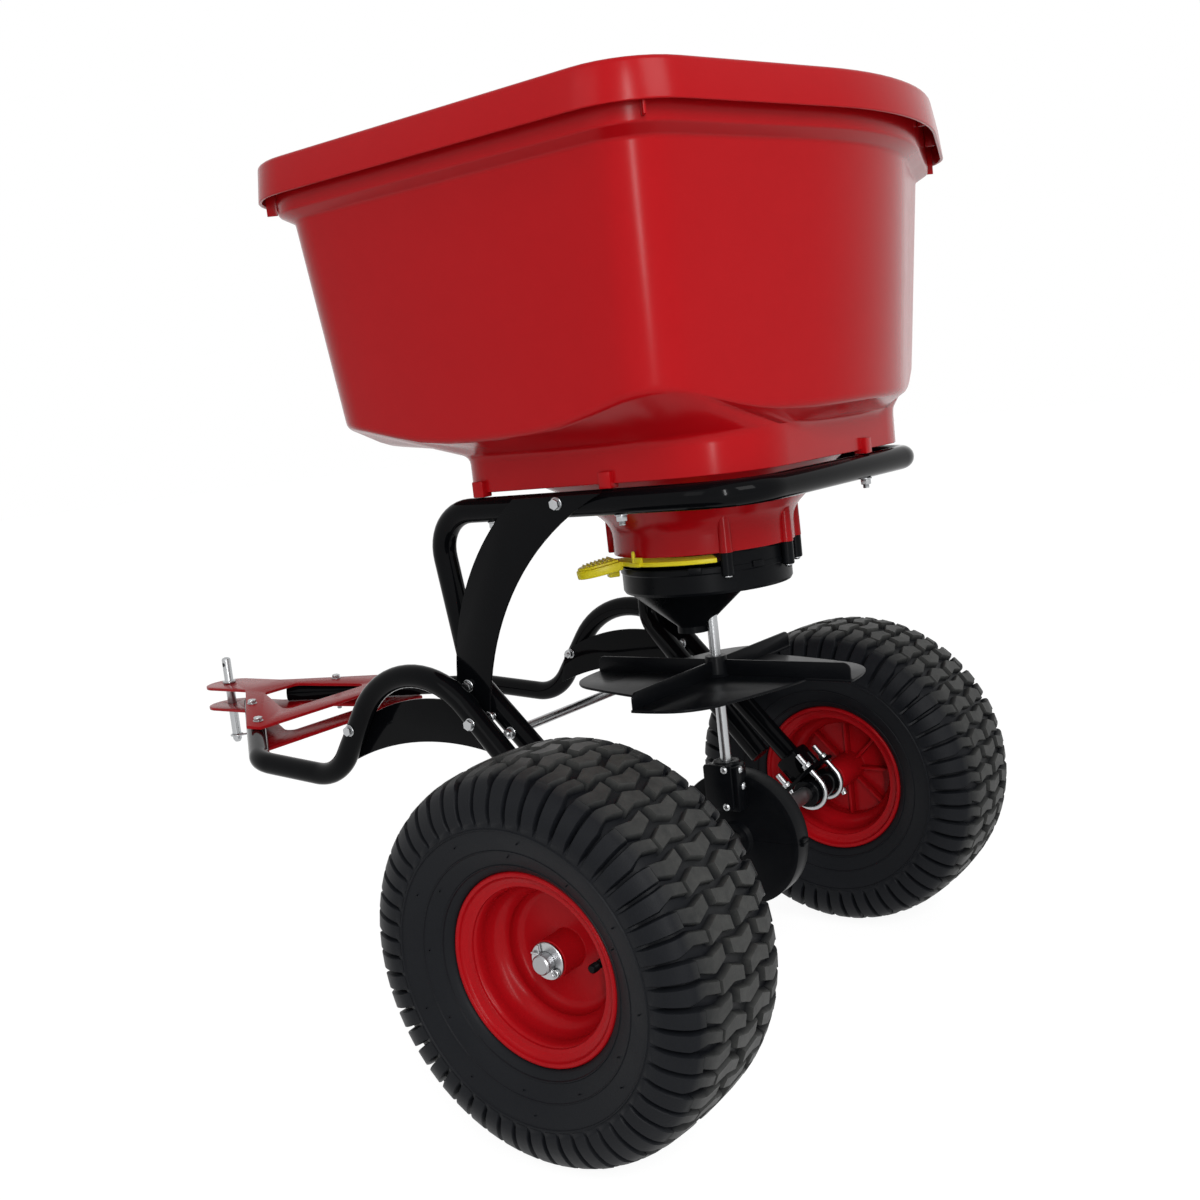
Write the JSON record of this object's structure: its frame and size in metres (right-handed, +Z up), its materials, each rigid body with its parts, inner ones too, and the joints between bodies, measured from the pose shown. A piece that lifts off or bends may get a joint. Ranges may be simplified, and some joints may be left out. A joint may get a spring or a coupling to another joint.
{
  "type": "tow behind spreader",
  "caption": "Two-wheeled tow behind broadcast spreader: moulded hopper on a bent tube frame with a hitch plate, a gate lever and an impeller geared to the axle.",
  "frame": {"origin": "centre of the bounding box on the ground, with the wheels standing at Z = 0", "axes": "-Y points to the hitch and the towing vehicle, +X to the spreader's left side, +Z up"},
  "size_m": [0.78, 1.1418, 0.9541],
  "materials": {
    "red_plastic": "moulded red polyethylene with a soft gloss",
    "red_paint": "red enamel on pressed steel",
    "black_paint": "gloss black powder coat on steel",
    "black_plastic": "black moulded nylon, slightly dull",
    "rubber": "black tyre rubber",
    "yellow_plastic": "bright yellow moulded plastic",
    "zinc": "bright zinc plated steel",
    "steel": "plain drawn steel"
  },
  "bodies": {
    "frame": {"drawbar_left": "black_paint", "drawbar_right": "black_paint", "hopper_frame": "black_paint", "gusset_left": "black_paint", "gusset_right": "black_paint", "column_plate_left": "black_paint", "column_plate_right": "black_paint", "tie_rod": "zinc", "hitch_plate_upper": "red_paint", "hitch_plate_lower": "red_paint", "axle_sleeve_left": "black_paint", "axle_sleeve_right": "black_paint", "saddle_left": "black_paint", "saddle_right": "black_paint", "u_bolt_left_inner": "zinc", "u_bolt_left_outer": "zinc", "u_bolt_right_inner": "zinc", "u_bolt_right_outer": "zinc", "hopper": "red_plastic", "base_housing": "black_plastic", "gearbox_upper": "black_plastic", "gearbox_lower": "black_plastic"},
    "axle_drive": {"axle": "steel", "wheel_right": "red_paint", "tyre_right": "rubber", "valve_right": "black_plastic", "drive_pin": "zinc", "crown_gear": "steel", "washer_left": "zinc", "washer_right": "zinc", "cotter_left": "zinc", "cotter_right": "zinc"},
    "left_wheel": {"wheel_left": "red_paint", "tyre_left": "rubber", "valve_left": "black_plastic"},
    "impeller_drive": {"impeller_shaft": "zinc", "pinion": "steel", "impeller": "black_plastic", "agitator": "steel"},
    "gate": {"gate_disc": "black_plastic", "rate_lever": "yellow_plastic"},
    "coupling_pin": {"hitch_pin": "zinc", "hitch_clip": "zinc"}
  },
  "joints": [
    {"name": "axle_spin", "type": "hinge", "parent": "frame", "child": "axle_drive", "pos_m": [0, 0.3021, 0.1905], "axis": [1, 0, 0], "continuous": true},
    {"name": "left_wheel_spin", "type": "hinge", "parent": "frame", "child": "left_wheel", "pos_m": [0.3075, 0.3021, 0.1905], "axis": [1, 0, 0], "continuous": true},
    {"name": "impeller_spin", "type": "hinge", "parent": "frame", "child": "impeller_drive", "pos_m": [0, 0.3021, 0.3775], "axis": [0, 0, 1], "continuous": true},
    {"name": "gate_turn", "type": "hinge", "parent": "frame", "child": "gate", "pos_m": [0, 0.3021, 0.5131], "axis": [0, 0, 1], "range_deg": [-40, 0]},
    {"name": "pin_lift", "type": "slide", "parent": "frame", "child": "coupling_pin", "axis": [0, 0, 1], "range_m": [0, 0.04]}
  ],
  "couplings": [
    {"joint": "impeller_spin", "follows": "axle_spin", "ratio": 4.8}
  ]
}
